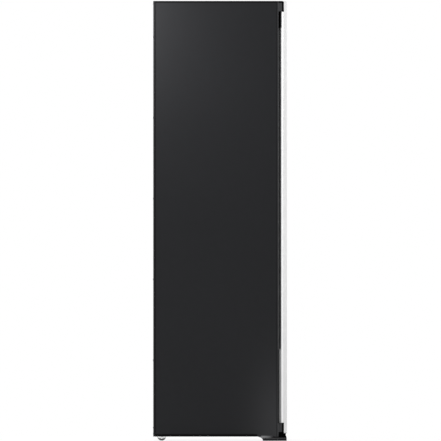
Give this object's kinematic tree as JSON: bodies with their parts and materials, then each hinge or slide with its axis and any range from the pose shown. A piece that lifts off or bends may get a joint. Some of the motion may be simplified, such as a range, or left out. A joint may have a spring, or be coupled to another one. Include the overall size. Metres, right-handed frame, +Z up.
{
  "type": "clothes care steam cabinet",
  "caption": "Tall free-standing garment steam cabinet with a full-height hinged door, moving hanger bar, trouser press, shelf, water tanks and machine bay.",
  "frame": {"origin": "centre of the footprint, on the floor", "axes": "+Z up, the door faces -Y, +X to the right of someone facing the door"},
  "size_m": [0.6, 0.596, 1.96],
  "materials": {
    "panel_paint": "fine satin charcoal coating",
    "black_steel": "satin black",
    "zinc_steel": "zinc coated",
    "steel": "satin",
    "fin_metal": "thin pressed fins",
    "door_face": "glossy, back-coated pale",
    "door_edge": "pale satin",
    "liner_plastic": "smooth",
    "grey_plastic": "smooth",
    "black_plastic": "fine grain",
    "white_plastic": "smooth",
    "tank_plastic": "tinted, slightly cloudy",
    "rubber": "matt",
    "foam": "rigid foam skin",
    "board": "circuit card"
  },
  "bodies": {
    "cabinet": {"side_panel_left": "panel_paint", "side_panel_right": "panel_paint", "top_panel": "panel_paint", "back_panel": "panel_paint", "base_pan": "zinc_steel", "top_fascia": "panel_paint", "bottom_fascia": "panel_paint", "chamber_liner": "liner_plastic", "insulation_foam": "foam", "bay_deck": "zinc_steel", "steam_nozzle": "steel", "air_outlet_grille": "grey_plastic", "interior_lamp": "white_plastic", "hinge_bracket_upper": "black_steel", "hinge_bracket_lower": "black_steel", "drive_base": "zinc_steel", "drive_belt": "rubber", "drive_motor": "steel", "tank_bay_frame": "black_plastic", "air_duct": "foam", "fan_motor": "steel", "evaporator": "fin_metal", "condenser": "fin_metal", "compressor": "black_steel", "steam_generator": "steel", "water_pump": "grey_plastic", "drain_pump": "grey_plastic", "control_board": "board", "plinth_cover": "black_plastic", "roller_bracket_left": "zinc_steel", "roller_bracket_right": "zinc_steel"},
    "door": {"door_glass": "door_face", "door_trim": "door_edge", "door_frame": "liner_plastic", "door_liner": "grey_plastic", "control_display": "black_plastic", "door_foam": "foam", "door_gasket": "rubber", "hinge_bush_lower": "white_plastic", "hinge_bush_upper": "white_plastic", "press_back_plate": "grey_plastic", "trouser_hanger": "grey_plastic"},
    "press_panel": {"press_panel": "liner_plastic"},
    "press_latch": {"press_latch": "steel"},
    "moving_hanger": {"hanger_bar": "steel", "hanger_yoke": "zinc_steel"},
    "garment_hanger_1": {"garment_hanger_1": "grey_plastic"},
    "garment_hanger_2": {"garment_hanger_2": "grey_plastic"},
    "drive_pulley": {"drive_pulley": "grey_plastic"},
    "motor_pulley": {"motor_pulley": "steel"},
    "garment_shelf": {"garment_shelf": "grey_plastic"},
    "lint_filter": {"lint_filter": "grey_plastic"},
    "aroma_cup": {"aroma_cup": "grey_plastic"},
    "supply_tank": {"supply_tank": "tank_plastic"},
    "drain_tank": {"drain_tank": "tank_plastic"},
    "circulation_fan": {"circulation_fan": "grey_plastic"},
    "leveling_foot_left": {"leveling_foot_left": "black_plastic"},
    "leveling_foot_right": {"leveling_foot_right": "black_plastic"},
    "rear_roller_left": {"rear_roller_left": "white_plastic"},
    "rear_roller_right": {"rear_roller_right": "white_plastic"}
  },
  "joints": [
    {"name": "door_hinge", "type": "hinge", "parent": "cabinet", "child": "door", "pos_m": [0.287, -0.28845, 1], "axis": [0, 0, 1], "range_deg": [0, 110]},
    {"name": "press_panel_hinge", "type": "hinge", "parent": "door", "child": "press_panel", "pos_m": [0.186, -0.2493, 1.01], "axis": [0, 0, -1], "range_deg": [0, 90]},
    {"name": "press_latch_turn", "type": "hinge", "parent": "door", "child": "press_latch", "pos_m": [-0.208, -0.247, 1.01], "axis": [0, 1, 0], "range_deg": [0, 90]},
    {"name": "hanger_slide", "type": "slide", "parent": "cabinet", "child": "moving_hanger", "axis": [1, 0, 0], "range_m": [-0.02, 0.02]},
    {"name": "garment_swing_1", "type": "hinge", "parent": "moving_hanger", "child": "garment_hanger_1", "pos_m": [-0.075, 0.02, 1.7], "axis": [1, 0, 0], "range_deg": [-12, 12]},
    {"name": "garment_swing_2", "type": "hinge", "parent": "moving_hanger", "child": "garment_hanger_2", "pos_m": [0.075, 0.02, 1.7], "axis": [1, 0, 0], "range_deg": [-12, 12]},
    {"name": "crank_spin", "type": "hinge", "parent": "cabinet", "child": "drive_pulley", "pos_m": [0, 0.02, 1.88], "axis": [0, 0, 1], "continuous": true},
    {"name": "motor_pulley_spin", "type": "hinge", "parent": "cabinet", "child": "motor_pulley", "pos_m": [0.1, 0.02, 1.88], "axis": [0, 0, 1], "continuous": true},
    {"name": "shelf_lift", "type": "slide", "parent": "cabinet", "child": "garment_shelf", "axis": [0, 0, 1], "range_m": [0, 0.06]},
    {"name": "lint_filter_lift", "type": "slide", "parent": "cabinet", "child": "lint_filter", "axis": [0, 0, 1], "range_m": [0, 0.04]},
    {"name": "aroma_cup_lift", "type": "slide", "parent": "cabinet", "child": "aroma_cup", "axis": [0, 0, 1], "range_m": [0, 0.035]},
    {"name": "supply_tank_pull", "type": "slide", "parent": "cabinet", "child": "supply_tank", "axis": [0, -1, 0], "range_m": [0, 0.025]},
    {"name": "drain_tank_pull", "type": "slide", "parent": "cabinet", "child": "drain_tank", "axis": [0, -1, 0], "range_m": [0, 0.025]},
    {"name": "fan_spin", "type": "hinge", "parent": "cabinet", "child": "circulation_fan", "pos_m": [0, 0.184, 0.302], "axis": [0, 1, 0], "continuous": true},
    {"name": "leveling_foot_left_turn", "type": "hinge", "parent": "cabinet", "child": "leveling_foot_left", "pos_m": [-0.255, -0.226, 0.02], "axis": [0, 0, 1], "continuous": true},
    {"name": "leveling_foot_right_turn", "type": "hinge", "parent": "cabinet", "child": "leveling_foot_right", "pos_m": [0.255, -0.226, 0.02], "axis": [0, 0, 1], "continuous": true},
    {"name": "rear_roller_left_spin", "type": "hinge", "parent": "cabinet", "child": "rear_roller_left", "pos_m": [-0.25, 0.261, 0.02], "axis": [1, 0, 0], "continuous": true},
    {"name": "rear_roller_right_spin", "type": "hinge", "parent": "cabinet", "child": "rear_roller_right", "pos_m": [0.25, 0.261, 0.02], "axis": [1, 0, 0], "continuous": true}
  ],
  "couplings": [
    {"joint": "motor_pulley_spin", "follows": "crank_spin", "ratio": 3}
  ]
}
